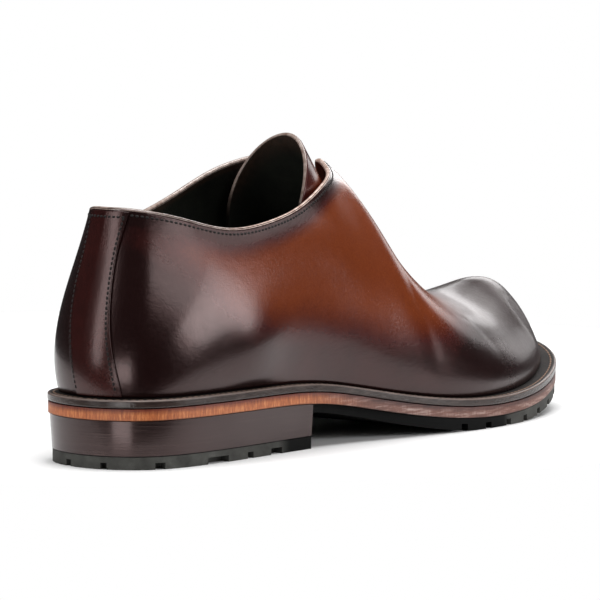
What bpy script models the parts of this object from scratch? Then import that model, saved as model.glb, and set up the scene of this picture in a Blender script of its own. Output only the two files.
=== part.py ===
"""A man's oxford shoe for the right foot, standing empty on its sole.

Sizes are in millimetres: x runs from the back of the heel to the toe, y towards the medial side and
z up from the floor. make() turns them into metres and puts the middle of the sole over the origin.
"""
import bmesh
import bpy
import numpy as np

for old in list(bpy.data.objects):
    bpy.data.objects.remove(old)

MM = 0.001
GAP = 0.3                  # left between pieces that lie on each other
LATERAL = -1
MEDIAL = 1

WALL = 2.0                 # leather of the upper with its lining
STRIP_THICK = 1.0          # leather of the back strip
TONGUE_THICK = 2.0
THROAT_END = 196.0         # x at which the two facings join into the vamp

# heights from the top of the welt, up is positive
WELT_UNDER = -3.2
MIDSOLE_TOP = -3.5
MIDSOLE_UNDER = -8.0
RUBBER_TOP = -8.3
INSOLE_UNDER = -3.2
INSOLE_TOP = 1.0

WELT_SEAT = 1.0            # welt that reaches in under the upper, past its wall
INSOLE_PLAY = 0.4          # between insole and welt
MIDSOLE_INSET = 0.2        # how far each layer stands inside the welt's edge
STACK_TOP_INSET = 0.8
STACK_FOOT_INSET = 1.7
TOP_PIECE_INSET = 1.9

HEEL_BREAST = 104.0        # x of the heel's front face
BREAST_GAP = 0.6           # between that face and the rubber ahead of it
TOP_PIECE = 5.0            # thickness of the rubber under the heel
LUG_DEPTH = 4.0            # how far a notch goes into the edge
LUG_HEIGHT = 2.6

RIBS_A_SIDE = 56           # sections of the upper from the heel's back to the toe's tip, on each side
LEVELS = 13                # points of a section, from the welt to its top
STRIP_RIBS = 9
TONGUE_RIBS = 15
TONGUE_STEPS = 15
EDGE_STEPS = 56            # points of the sole's edge on each side
SHARP_DEGREES = 35         # edges of the solids that stay sharp

# edge of the welt seen from above, once round from the heel's back along the lateral side
EDGE = [
    # x, y
    (0, -4), (3.2, -18.5), (14, -31), (40, -37.2), (80, -37.8), (118, -38.5), (160, -46), (203, -52),
    (245, -46.5), (272.8, -35.4), (289.6, -22.4), (302, 2),
    (297.5, 24), (281, 37.5), (255, 45.5), (219, 50), (185, 45), (150, 36), (115, 31), (80, 30.5),
    (40, 31.5), (15, 26), (3.9, 13.5),
]
TOE_ROW = 11

# the sole along the shoe, with its heel, arch and toe spring
SOLE = [
    # x, height of the welt's top, welt showing outside the upper
    (-5, 27.4, 4.5),
    (35, 27.4, 4.2),
    (75, 27.2, 3.7),
    (112, 25.6, 3.2),
    (150, 19.0, 3.8),
    (190, 13.6, 4.7),
    (215, 12.8, 5.3),
    (245, 14.4, 6.0),
    (280, 20.6, 6.8),
    (312, 30.5, 7.5),
]

# rubber waist and forefoot: how far it stands inside the welt's edge, and how thick it is
RUBBER_SOLE = [
    # x, inset, thickness
    (100, 6.0, 3.6),
    (130, 5.2, 3.8),
    (160, 2.2, 4.5),
    (185, 0.8, 4.9),
    (250, 0.6, 4.9),
    (310, 0.6, 4.9),
]

# middle line of the upper seen from above
CENTRE = [
    # x, y
    (0, -2.5), (60, -1.0), (130, 0.5), (200, 1.5), (262, 4.0), (308, 4.5),
]

# sections of the upper. Each is a curve that leaves the welt with a flare and reaches its top from a
# direction seen from above (faces) with a drop, both in degrees; low and high are its reach at the ends.
SECTIONS = [
    # along, top_x, top_half, top_z, medial lift, faces, drop, flare, low, high
    (0.000, 18.5, 0.0, 100.5, 0.0, 180, 78, 14, 26, 26),
    (0.080, 22.5, 12.0, 100.0, 0.0, 132, 77, 14, 26, 26),
    (0.160, 37.0, 22.5, 96.5, 0.0, 106, 74, 13, 25, 25),
    (0.240, 57.0, 29.0, 91.6, 0.6, 94, 70, 12, 24, 24),
    (0.315, 78.0, 31.8, 92.4, 2.2, 90, 68, 11, 24, 24),
    (0.385, 100.0, 31.8, 97.0, 4.4, 87, 66, 11, 24, 26),
    (0.445, 119.0, 28.5, 103.8, 5.6, 84, 60, 11, 24, 30),
    (0.500, 135.0, 21.0, 108.5, 6.0, 84, 50, 11, 24, 33),
    (0.545, 144.5, 11.5, 112.2, 5.0, 86, 34, 11, 24, 34),
    (0.570, 148.5, 4.5, 112.4, 4.2, 87, 25, 11, 24, 33),
    (0.600, 156.5, 4.5, 94.8, 3.0, 88, 14, 12, 23, 31),
    (0.670, 180.0, 2.0, 71.2, 0.5, 90, 5, 14, 21, 28),
    (0.740, 206.5, 0.0, 57.2, 0.0, 90, 0, 16, 18, 28),
    (0.800, 229.0, 0.0, 52.2, 0.0, 90, 0, 16, 15, 27),
    (0.850, 247.0, 0.0, 53.0, 0.0, 90, 0, 12, 12, 25),
    (0.900, 262.0, 0.0, 55.8, 0.0, 86, 3, 7, 8, 21),
    (0.935, 267.5, 0.0, 56.4, 0.0, 60, 4, 5, 7, 18),
    (0.968, 270.5, 0.0, 56.6, 0.0, 30, 5, 4, 7, 15),
    (1.000, 272.0, 0.0, 56.6, 0.0, 0, 5, 4, 7, 14),
]

# edges of the back strip as shares of the upper's way round, from the welt up; its foot leans outwards
STRIP = [
    # level, lateral share, medial share
    (0.00, 0.0354, 0.0113),
    (0.12, 0.0316, 0.0142),
    (0.25, 0.0274, 0.0180),
    (0.42, 0.0244, 0.0246),
    (0.62, 0.0244, 0.0312),
    (0.80, 0.0288, 0.0350),
    (1.00, 0.0453, 0.0453),
]
STRIP_FOOT = 0.01          # levels of the strip's lower and upper end
STRIP_TOP = 0.985

# the tongue's outer face along its middle line, from under the vamp to its tip
TONGUE = [
    # x, z, radius of the bend, its angle to the lateral and to the medial edge in degrees
    (194.0, 59.5, 38, 30, 30),
    (178.0, 68.5, 36, 38, 46),
    (156.0, 90.0, 29, 66, 76),
    (141.0, 108.5, 26, 97, 95),
    (128.6, 126.0, 23, 99, 106),
]
TONGUE_PEAK = -0.22        # place of the tip's highest point, from -1 on the lateral edge to 1
TONGUE_FALL = 0.25         # share of its length that the tip falls at 1 from the peak
TONGUE_ROUND = 1.9         # how late the fall starts

# notches in the edge of the rubber, measured along the edge from the heel's back
HEEL_LUGS = [
    # middle, width
    (9.5, 3.0), (34.0, 4.6), (64.5, 12.0), (84.0, 3.5), (100.5, 7.0),
]
FORE_LUG_FIRST = 208.0
FORE_LUG_STEP = 15.0
FORE_LUG_COUNT = 9
FORE_LUG_WIDTH = 3.6
LUG_CLEAR = 0.005          # share of the edge round a notch's ends that is kept free of other points


def spline(knots, rows, closed=False):
    """A smooth curve through rows of numbers, as a function of the knots."""
    knots = np.asarray(knots, float)
    rows = np.asarray(rows, float)
    count = len(knots)
    step = np.diff(knots)
    slope = np.diff(rows, axis=0) / step[:, None]
    left = np.zeros((count, count))
    right = np.zeros(rows.shape)
    for i in range(1, count - 1):
        left[i, i - 1:i + 2] = step[i - 1], 2 * (step[i - 1] + step[i]), step[i]
        right[i] = 6 * (slope[i] - slope[i - 1])
    left[0, 0] = 1
    left[-1, -1] = 1
    if closed:
        left[0, 0] = 2 * (step[0] + step[-1])
        left[0, 1] = step[0]
        left[0, -2] = step[-1]
        right[0] = 6 * (slope[0] - slope[-1])
        left[-1, 0] = -1
    bend = np.linalg.solve(left, right)

    def at(value):
        value = np.atleast_1d(np.asarray(value, float))
        i = np.clip(np.searchsorted(knots, value) - 1, 0, count - 2)
        b = ((value - knots[i]) / step[i])[:, None]
        a = 1 - b
        curve = ((a ** 3 - a) * bend[i] + (b ** 3 - b) * bend[i + 1]) * step[i][:, None] ** 2 / 6
        return a * rows[i] + b * rows[i + 1] + curve

    return at


def table_curve(table):
    """A smooth curve through a table whose first column holds the knots."""
    table = np.asarray(table, float)
    return spline(table[:, 0], table[:, 1:])


def edge_halves():
    """The welt's edge as two close polylines, each from the heel's back to the toe."""
    points = np.array(EDGE + EDGE[:1], float)
    reach = np.linalg.norm(np.diff(points, axis=0), axis=1)
    knots = np.concatenate([[0], np.cumsum(np.sqrt(reach))])
    curve = spline(knots, points, closed=True)
    lateral = curve(np.linspace(0, knots[TOE_ROW], 1600))
    medial = curve(np.linspace(knots[-1], knots[TOE_ROW], 1600))
    return {LATERAL: lateral, MEDIAL: medial}


def way_along(line):
    """The way from a polyline's start to each of its points."""
    return np.concatenate([[0], np.cumsum(np.linalg.norm(np.diff(line, axis=0), axis=1))])


HALVES = edge_halves()
WAYS = {side: way_along(line) for side, line in HALVES.items()}
ALL_EDGE = np.concatenate(list(HALVES.values()))
MIDDLE = (ALL_EDGE.min(axis=0) + ALL_EDGE.max(axis=0)) / 2

sole_at = table_curve(SOLE)
rubber_at = table_curve(RUBBER_SOLE)
centre_at = table_curve(CENTRE)
strip_at = table_curve(STRIP)
section_at = spline(np.linspace(0, 1, len(SECTIONS)), SECTIONS)
tongue_at = spline(np.linspace(0, 1, len(TONGUE)), TONGUE)


def welt_top(x):
    return sole_at(x)[:, 0]


def welt_showing(x):
    return sole_at(x)[:, 1]


def rubber_inset(x):
    return rubber_at(x)[:, 0]


def rubber_under(x):
    """Underside of the rubber: it never goes below the floor, which gives it the flat that it stands on."""
    return np.maximum(welt_top(x) + RUBBER_TOP - rubber_at(x)[:, 1], 0)


def flat(value):
    return lambda x: np.full(len(x), float(value))


def raised(curve, amount):
    return lambda x: curve(x) + amount


def edge_point(side, share):
    """A point of the welt's edge at a share of the way from the heel's back to the toe."""
    way = WAYS[side]
    line = HALVES[side]
    reach = np.clip(share, 0, 1) * way[-1]
    return np.stack([np.interp(reach, way, line[:, 0]), np.interp(reach, way, line[:, 1])], axis=-1)


def edge_outward(side, share):
    """The level direction out of the edge; straight back at the heel's middle and ahead at the toe's."""
    share = np.asarray(share, float)
    step = 0.004
    run = edge_point(side, share + step) - edge_point(side, share - step)
    run /= np.linalg.norm(run, axis=-1, keepdims=True)
    out = np.stack([run[:, 1], -run[:, 0]], axis=-1) * -side
    out[share <= 0] = (-1, 0)
    out[share >= 1] = (1, 0)
    return out


def upper_face(side, share, level):
    """Points of the upper's outer face: share from the heel's back to the toe, level from welt to top."""
    share, level = np.broadcast_arrays(share, level)
    shape = share.shape
    share = share.ravel()
    up = level.ravel()[:, None]
    down = 1 - up
    along, top_x, top_half, top_z, lift, faces, drop, flare, low, high = section_at(share).T
    edge = edge_point(side, along)
    out = edge_outward(side, along)
    foot = edge - out * welt_showing(edge[:, 0])[:, None]
    start = np.column_stack([foot, welt_top(edge[:, 0]) + GAP])
    flare = np.radians(flare)[:, None]
    leave = start + low[:, None] * np.column_stack([out * np.sin(flare), np.cos(flare)])
    half = np.where(top_x > THROAT_END, 0, np.maximum(top_half, 0))
    height = top_z + (lift if side == MEDIAL else 0)
    end = np.column_stack([top_x, centre_at(top_x)[:, 0] + side * half, height])
    faces = np.radians(faces)
    drop = np.radians(drop)
    level_reach = high * np.cos(drop)
    fall = np.column_stack([level_reach * np.cos(faces), side * level_reach * np.sin(faces), -high * np.sin(drop)])
    arrive = end + fall
    face = down ** 3 * start + 3 * up * down ** 2 * leave + 3 * up ** 2 * down * arrive + up ** 3 * end
    return face.reshape(shape + (3,))


def upper_outward(side, share, level):
    """The direction out of the upper's face."""
    step = 0.002
    ahead = upper_face(side, np.minimum(share + step, 1), level)
    behind = upper_face(side, np.maximum(share - step, 0), level)
    above = upper_face(side, share, np.minimum(level + step, 1))
    below = upper_face(side, share, np.maximum(level - step, 0))
    out = np.cross(ahead - behind, above - below) * -side
    return out / np.linalg.norm(out, axis=-1, keepdims=True)


def tongue_row(across, steps):
    """Points along the tongue's outer face, across it from -1 on the lateral edge to 1 on the medial one."""
    step = 0.01
    share = np.linspace(0, 1 - TONGUE_FALL * abs(across - TONGUE_PEAK) ** TONGUE_ROUND, steps)
    x, z, radius, lateral, medial = tongue_at(share).T
    run = (tongue_at(share + step) - tongue_at(share - step))[:, :2]
    run /= np.linalg.norm(run, axis=1, keepdims=True)
    bend = np.radians(medial if across > 0 else lateral) * across
    depth = radius * (1 - np.cos(bend))
    y = centre_at(x)[:, 0] + radius * np.sin(bend)
    return np.column_stack([x - run[:, 1] * depth, y, z + run[:, 0] * depth])


def material(name, colour, roughness):
    made = bpy.data.materials.new(name)
    made.use_nodes = True
    shader = made.node_tree.nodes["Principled BSDF"]
    shader.inputs["Base Color"].default_value = (*colour, 1)
    shader.inputs["Roughness"].default_value = roughness
    return made


SHOE = bpy.data.collections.new("oxford_shoe")
bpy.context.scene.collection.children.link(SHOE)
UPPER_LEATHER = material("upper_leather", (0.16, 0.055, 0.025), 0.3)
WELT_LEATHER = material("welt_leather", (0.035, 0.018, 0.014), 0.35)
MIDSOLE_LEATHER = material("midsole_leather", (0.42, 0.15, 0.055), 0.5)
HEEL_LEATHER = material("heel_leather", (0.045, 0.038, 0.035), 0.4)
INSOLE_LEATHER = material("insole_leather", (0.03, 0.032, 0.028), 0.7)
RUBBER = material("rubber", (0.02, 0.019, 0.019), 0.6)


def make(name, points, faces, paint):
    """An object from points in millimetres, without the points that no face uses."""
    points = np.asarray(points, float).reshape(-1, 3)
    used = sorted({corner for face in faces for corner in face})
    place = {corner: i for i, corner in enumerate(used)}
    faces = [[place[corner] for corner in face] for face in faces]
    placed = (points[used] - [MIDDLE[0], MIDDLE[1], 0]) * MM
    mesh = bpy.data.meshes.new(name)
    mesh.from_pydata(placed.tolist(), [], faces)
    mesh.materials.append(paint)
    made = bpy.data.objects.new(name, mesh)
    SHOE.objects.link(made)
    return made


def finish(made):
    """Turn a body's faces outwards and shade its round sides smooth."""
    work = bmesh.new()
    work.from_mesh(made.data)
    bmesh.ops.recalc_face_normals(work, faces=work.faces)
    work.to_mesh(made.data)
    work.free()
    made.data.shade_smooth()
    made.data.set_sharp_from_angle(angle=np.radians(SHARP_DEGREES))


def thicken(sheet, thickness, outwards):
    """Give a sheet its thickness, on its outer or on its inner side."""
    solid = sheet.modifiers.new("thickness", "SOLIDIFY")
    solid.thickness = thickness * MM
    solid.offset = 1 if outwards else -1
    sheet.data.shade_smooth()


def grid_faces(rows, columns):
    faces = []
    for i in range(rows - 1):
        for j in range(columns - 1):
            corner = i * columns + j
            faces.append((corner, corner + columns, corner + columns + 1, corner + 1))
    return faces


def make_upper():
    """The hollow upper, open at the collar, at the throat and underneath."""
    share = (np.arange(RIBS_A_SIDE) + 0.5) / RIBS_A_SIDE
    level = np.linspace(0, 1, LEVELS)
    lateral = upper_face(LATERAL, share[:, None], level[None, :])
    medial = upper_face(MEDIAL, share[:, None], level[None, :])
    ribs = np.concatenate([lateral, medial[::-1]])
    count = len(ribs)
    number = np.arange(count * LEVELS).reshape(count, LEVELS)
    top_x = section_at(share)[:, 1]
    for i in np.nonzero(top_x > THROAT_END)[0]:
        number[count - 1 - i, -1] = number[i, -1]
    faces = []
    for i in range(count):
        after = (i + 1) % count
        for j in range(LEVELS - 1):
            corners = [number[i, j], number[after, j], number[after, j + 1], number[i, j + 1]]
            faces.append([int(corner) for corner in dict.fromkeys(corners)])
    sheet = make("upper", ribs, faces, UPPER_LEATHER)
    thicken(sheet, WALL, outwards=False)


def make_back_strip():
    """The strip over the back seam, laid on the upper's own face."""
    level = np.linspace(STRIP_FOOT, STRIP_TOP, LEVELS)
    lateral_share, medial_share = strip_at(level).T
    rows = []
    for across in np.linspace(1, -1, STRIP_RIBS):
        side = MEDIAL if across > 0 else LATERAL
        share = across * medial_share if across > 0 else -across * lateral_share
        rows.append(upper_face(side, share, level) + upper_outward(side, share, level) * GAP)
    sheet = make("back_strip", rows, grid_faces(STRIP_RIBS, LEVELS), UPPER_LEATHER)
    thicken(sheet, STRIP_THICK, outwards=True)


def make_tongue():
    """A curved leaf under the facings that stands up over the collar."""
    rows = [tongue_row(across, TONGUE_STEPS) for across in np.linspace(-1, 1, TONGUE_RIBS)]
    sheet = make("tongue", rows, grid_faces(TONGUE_RIBS, TONGUE_STEPS), UPPER_LEATHER)
    thicken(sheet, TONGUE_THICK, outwards=False)


def edge_loop(shares, inset, height):
    """A closed loop of points inside the welt's edge: up the lateral side and back on the medial one."""
    halves = []
    for side in (LATERAL, MEDIAL):
        edge = edge_point(side, shares[side])
        x = edge[:, 0]
        plan = edge - edge_outward(side, shares[side]) * inset(x)[:, None]
        halves.append(np.column_stack([plan, height(x)]))
    return np.concatenate([halves[0], halves[1][::-1]])


def cap_faces(first, count):
    """Faces over a loop, each one from the lateral to the medial side."""
    faces = []
    for i in range(count // 2 - 1):
        faces.append((first + i, first + i + 1, first + count - 2 - i, first + count - 1 - i))
    return faces


def wall_faces(first, second, count):
    """Faces between two loops."""
    faces = []
    for i in range(count):
        after = (i + 1) % count
        faces.append((first + i, second + i, second + after, first + after))
    return faces


def make_plate(name, loops, paint):
    """A closed body between a top loop and a bottom loop."""
    count = len(loops[0])
    faces = cap_faces(0, count) + wall_faces(0, count, count) + cap_faces(count, count)
    finish(make(name, loops, faces, paint))


def make_ring(name, loops, paint):
    """A closed body that goes round as a frame, through its loops in turn."""
    count = len(loops[0])
    faces = []
    for i in range(len(loops)):
        faces += wall_faces(i * count, (i + 1) % len(loops) * count, count)
    finish(make(name, loops, faces, paint))


def make_lugged(name, shares, notched, inset, top, under, paint):
    """A rubber plate whose lower edge is cut by notches."""
    deep = raised(inset, LUG_DEPTH)
    roof = raised(under, LUG_HEIGHT)
    loops = [
        edge_loop(shares, inset, top),
        edge_loop(shares, inset, roof),
        edge_loop(shares, inset, under),
        edge_loop(shares, deep, under),
        edge_loop(shares, deep, roof),
    ]
    count = len(loops[0])
    top_out, roof_out, low_out, low_in, roof_in = [i * count for i in range(len(loops))]
    cut = notched + [False] + notched[::-1] + [False]
    faces = cap_faces(top_out, count) + cap_faces(low_in, count) + wall_faces(top_out, roof_out, count)
    for i in range(count):
        after = (i + 1) % count
        corner = roof_in if cut[i] else low_out
        faces.append((roof_out + i, corner + i, corner + after, roof_out + after))
        faces.append((corner + i, low_in + i, low_in + after, corner + after))
        if cut[i] != cut[i - 1]:
            faces.append((roof_out + i, low_out + i, low_in + i, roof_in + i))
    finish(make(name, loops, faces, paint))


def whole_shares():
    share = (np.arange(EDGE_STEPS) + 0.5) / EDGE_STEPS
    return {LATERAL: share, MEDIAL: share}


def share_at(side, x):
    """Share of the way at which a side's edge passes x."""
    return float(np.interp(x, HALVES[side][:, 0], WAYS[side] / WAYS[side][-1]))


def lug_shares(first, last, lugs):
    """Shares of the way with a point at both ends of every notch, and which steps are notches."""
    length = WAYS[LATERAL][-1]
    cuts = [((middle - width / 2) / length, (middle + width / 2) / length) for middle, width in lugs]
    marks = [mark for cut in cuts for mark in cut]
    shares = marks + [first, last]
    for share in np.linspace(first, last, int((last - first) * EDGE_STEPS) + 2)[1:-1]:
        in_notch = any(start < share < end for start, end in cuts)
        near = min(abs(share - mark) for mark in marks) < LUG_CLEAR
        if not (in_notch or near):
            shares.append(share)
    shares = np.array(sorted(shares))
    middles = (shares[:-1] + shares[1:]) / 2
    notched = [any(start < middle < end for start, end in cuts) for middle in middles]
    return shares, notched


def make_welt():
    """The welt, a strip all the way round that the upper stands on."""
    shares = whole_shares()
    within = raised(welt_showing, WALL + WELT_SEAT)
    loops = [
        edge_loop(shares, flat(0), welt_top),
        edge_loop(shares, flat(0), raised(welt_top, WELT_UNDER)),
        edge_loop(shares, within, raised(welt_top, WELT_UNDER)),
        edge_loop(shares, within, welt_top),
    ]
    make_ring("welt", loops, WELT_LEATHER)


def make_insole():
    """The insole inside the welt, which closes the upper underneath."""
    shares = whole_shares()
    within = raised(welt_showing, WALL + WELT_SEAT + INSOLE_PLAY)
    loops = [
        edge_loop(shares, within, raised(welt_top, INSOLE_TOP)),
        edge_loop(shares, within, raised(welt_top, INSOLE_UNDER)),
    ]
    make_plate("insole", loops, INSOLE_LEATHER)


def stretch_shares(first_x, last_x):
    """Shares of the way between two straight cuts across the sole; None stands for the sole's own end."""
    shares = {}
    for side in (LATERAL, MEDIAL):
        first = 0.5 / EDGE_STEPS if first_x is None else share_at(side, first_x)
        last = 1 - 0.5 / EDGE_STEPS if last_x is None else share_at(side, last_x)
        shares[side] = (first, last)
    first, last = shares[LATERAL]
    count = int((last - first) * EDGE_STEPS) + 2
    return {side: np.linspace(*ends, count) for side, ends in shares.items()}


def make_layer(name, first_x, last_x):
    """A length of the leather layer between welt and rubber."""
    shares = stretch_shares(first_x, last_x)
    loops = [
        edge_loop(shares, flat(MIDSOLE_INSET), raised(welt_top, MIDSOLE_TOP)),
        edge_loop(shares, flat(MIDSOLE_INSET), raised(welt_top, MIDSOLE_UNDER)),
    ]
    make_plate(name, loops, MIDSOLE_LEATHER)


def make_midsole():
    """The leather layer: a rand over the heel and the midsole ahead of it."""
    make_layer("heel_rand", None, HEEL_BREAST - GAP / 2)
    make_layer("midsole", HEEL_BREAST + GAP / 2, None)


def make_outsole():
    """The rubber waist and forefoot; level where it stands, lifted at the toe, notched along its edge."""
    lugs = [(FORE_LUG_FIRST + i * FORE_LUG_STEP, FORE_LUG_WIDTH) for i in range(FORE_LUG_COUNT)]
    start = HEEL_BREAST + BREAST_GAP
    share, notched = lug_shares(share_at(LATERAL, start), 1 - 0.5 / EDGE_STEPS, lugs)
    shares = {LATERAL: share, MEDIAL: share.copy()}
    shares[MEDIAL][0] = share_at(MEDIAL, start)
    make_lugged("outsole", shares, notched, rubber_inset, raised(welt_top, RUBBER_TOP), rubber_under, RUBBER)


def make_heel():
    """The stacked leather of the heel and the notched rubber under it."""
    share, notched = lug_shares(0.5 / EDGE_STEPS, share_at(LATERAL, HEEL_BREAST), HEEL_LUGS)
    shares = {LATERAL: share, MEDIAL: share.copy()}
    shares[MEDIAL][-1] = share_at(MEDIAL, HEEL_BREAST)
    loops = [
        edge_loop(shares, flat(STACK_TOP_INSET), raised(welt_top, RUBBER_TOP)),
        edge_loop(shares, flat(STACK_FOOT_INSET), flat(TOP_PIECE + GAP)),
    ]
    make_plate("heel_stack", loops, HEEL_LEATHER)
    make_lugged("heel_top_piece", shares, notched, flat(TOP_PIECE_INSET), flat(TOP_PIECE), flat(0), RUBBER)


make_upper()
make_back_strip()
make_tongue()
make_insole()
make_welt()
make_midsole()
make_outsole()
make_heel()
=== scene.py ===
"""Dress the oxford shoe: burnished leather, seams, sole layers, light and camera.

Lengths are in millimetres from the back of the heel, as in the part's own source, until make() places them.
"""
import math

import bmesh
import bpy
import numpy as np
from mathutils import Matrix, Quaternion, Vector


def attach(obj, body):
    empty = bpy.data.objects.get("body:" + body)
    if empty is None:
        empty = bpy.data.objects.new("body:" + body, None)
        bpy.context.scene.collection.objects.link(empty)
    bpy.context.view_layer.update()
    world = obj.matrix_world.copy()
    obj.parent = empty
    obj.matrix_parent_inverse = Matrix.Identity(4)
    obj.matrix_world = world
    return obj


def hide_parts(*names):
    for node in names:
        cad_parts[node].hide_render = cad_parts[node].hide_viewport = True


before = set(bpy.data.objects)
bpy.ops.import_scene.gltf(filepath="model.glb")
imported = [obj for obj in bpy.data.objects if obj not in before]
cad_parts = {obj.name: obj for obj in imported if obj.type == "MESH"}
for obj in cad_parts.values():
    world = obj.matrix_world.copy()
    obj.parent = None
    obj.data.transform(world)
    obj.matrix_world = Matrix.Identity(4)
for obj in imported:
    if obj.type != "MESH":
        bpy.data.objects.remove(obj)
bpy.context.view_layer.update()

MM = 0.001
GAP = 0.3  # left between pieces that lie on each other
LATERAL = -1
MEDIAL = 1

WALL = 2.0  # leather of the upper with its lining
STRIP_THICK = 1.0  # leather of the back strip
TONGUE_THICK = 2.0
THROAT_END = 196.0  # x at which the two facings join into the vamp

# heights from the top of the welt, up is positive
WELT_UNDER = -3.2
MIDSOLE_TOP = -3.5
MIDSOLE_UNDER = -8.0
RUBBER_TOP = -8.3
INSOLE_UNDER = -3.2
INSOLE_TOP = 1.0

WELT_SEAT = 1.0  # welt that reaches in under the upper, past its wall
INSOLE_PLAY = 0.4  # between insole and welt
MIDSOLE_INSET = 0.2  # how far each layer stands inside the welt's edge
STACK_TOP_INSET = 0.8
STACK_FOOT_INSET = 1.7
TOP_PIECE_INSET = 1.9

HEEL_BREAST = 104.0  # x of the heel's front face
BREAST_GAP = 0.6  # between that face and the rubber ahead of it
TOP_PIECE = 5.0  # thickness of the rubber under the heel
LUG_DEPTH = 4.0  # how far a notch goes into the edge
LUG_HEIGHT = 2.6

EDGE_STEPS = 220  # steps along a side of the sole
HALF_STEP = 0.5 / EDGE_STEPS
EDGE_POINTS = 1600  # of each side's close polyline

# edge of the welt seen from above, once round from the heel's back along the lateral side
EDGE = [
    # x, y
    (0, -4), (3.2, -18.5), (14, -31), (40, -37.2), (80, -37.8), (118, -38.5), (160, -46), (203, -52),
    (245, -46.5), (272.8, -35.4), (289.6, -22.4), (302, 2),
    (297.5, 24), (281, 37.5), (255, 45.5), (219, 50), (185, 45), (150, 36), (115, 31), (80, 30.5),
    (40, 31.5), (15, 26), (3.9, 13.5),
]
TOE_ROW = 11

# the sole along the shoe, with its heel, arch and toe spring
SOLE = [
    # x, height of the welt's top, welt showing outside the upper
    (-5, 27.4, 4.5),
    (35, 27.4, 4.2),
    (75, 27.2, 3.7),
    (112, 25.6, 3.2),
    (150, 19.0, 3.8),
    (190, 13.6, 4.7),
    (215, 12.8, 5.3),
    (245, 14.4, 6.0),
    (280, 20.6, 6.8),
    (312, 30.5, 7.5),
]

# rubber waist and forefoot: how far it stands inside the welt's edge, and how thick it is
RUBBER_SOLE = [
    # x, inset, thickness
    (100, 6.0, 3.6),
    (130, 5.2, 3.8),
    (160, 2.2, 4.5),
    (185, 0.8, 4.9),
    (250, 0.6, 4.9),
    (310, 0.6, 4.9),
]

# middle line of the upper seen from above
CENTRE = [
    # x, y
    (0, -2.5), (60, -1.0), (130, 0.5), (200, 1.5), (262, 4.0), (308, 4.5),
]

# sections of the upper. Each is a curve that leaves the welt with a flare and reaches its top from a
# direction seen from above (faces) with a drop, both in degrees; low and high are its reach at the ends.
SECTIONS = [
    # along, top_x, top_half, top_z, medial lift, faces, drop, flare, low, high
    (0.000, 18.5, 0.0, 100.5, 0.0, 180, 78, 14, 26, 26),
    (0.080, 22.5, 12.0, 100.0, 0.0, 132, 77, 14, 26, 26),
    (0.160, 37.0, 22.5, 96.5, 0.0, 106, 74, 13, 25, 25),
    (0.240, 57.0, 29.0, 91.6, 0.6, 94, 70, 12, 24, 24),
    (0.315, 78.0, 31.8, 92.4, 2.2, 90, 68, 11, 24, 24),
    (0.385, 100.0, 31.8, 97.0, 4.4, 87, 66, 11, 24, 26),
    (0.445, 119.0, 28.5, 103.8, 5.6, 84, 60, 11, 24, 30),
    (0.500, 135.0, 21.0, 108.5, 6.0, 84, 50, 11, 24, 33),
    (0.545, 144.5, 11.5, 112.2, 5.0, 86, 34, 11, 24, 34),
    (0.570, 148.5, 4.5, 112.4, 4.2, 87, 25, 11, 24, 33),
    (0.600, 156.5, 4.5, 94.8, 3.0, 88, 14, 12, 23, 31),
    (0.670, 180.0, 2.0, 71.2, 0.5, 90, 5, 14, 21, 28),
    (0.740, 206.5, 0.0, 57.2, 0.0, 90, 0, 16, 18, 28),
    (0.800, 229.0, 0.0, 52.2, 0.0, 90, 0, 16, 15, 27),
    (0.850, 247.0, 0.0, 53.0, 0.0, 90, 0, 12, 12, 25),
    (0.900, 262.0, 0.0, 55.8, 0.0, 86, 3, 7, 8, 21),
    (0.935, 267.5, 0.0, 56.4, 0.0, 60, 4, 5, 7, 18),
    (0.968, 270.5, 0.0, 56.6, 0.0, 30, 5, 4, 7, 15),
    (1.000, 272.0, 0.0, 56.6, 0.0, 0, 5, 4, 7, 14),
]

# edges of the back strip as shares of the upper's way round, from the welt up; its foot leans outwards
STRIP = [
    # level, lateral share, medial share
    (0.00, 0.0354, 0.0113),
    (0.12, 0.0316, 0.0142),
    (0.25, 0.0274, 0.0180),
    (0.42, 0.0244, 0.0246),
    (0.62, 0.0244, 0.0312),
    (0.80, 0.0288, 0.0350),
    (1.00, 0.0453, 0.0453),
]
STRIP_FOOT = 0.01  # levels of the strip's lower and upper end
STRIP_TOP = 0.985

# the tongue's outer face along its middle line, from under the vamp to its tip
TONGUE = [
    # x, z, radius of the bend, its angle to the lateral and to the medial edge in degrees
    (194.0, 59.5, 38, 30, 30),
    (178.0, 68.5, 36, 38, 46),
    (156.0, 90.0, 29, 66, 76),
    (141.0, 108.5, 26, 97, 95),
    (128.6, 126.0, 23, 99, 106),
]
TONGUE_PEAK = -0.22  # place of the tip's highest point, from -1 on the lateral edge to 1
TONGUE_FALL = 0.25  # share of its length that the tip falls at 1 from the peak
TONGUE_ROUND = 1.9  # how late the fall starts

# notches in the edge of the rubber, measured along the edge from the heel's back
HEEL_LUGS = [
    # middle, width
    (9.5, 3.0), (34.0, 4.6), (64.5, 12.0), (84.0, 3.5), (100.5, 7.0),
]
FORE_LUG_FIRST = 208.0
FORE_LUG_STEP = 15.0
FORE_LUG_COUNT = 9
FORE_LUG_WIDTH = 3.6
LUG_CLEAR = 0.005  # share of the edge round a notch's ends that is kept free of other points


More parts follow.
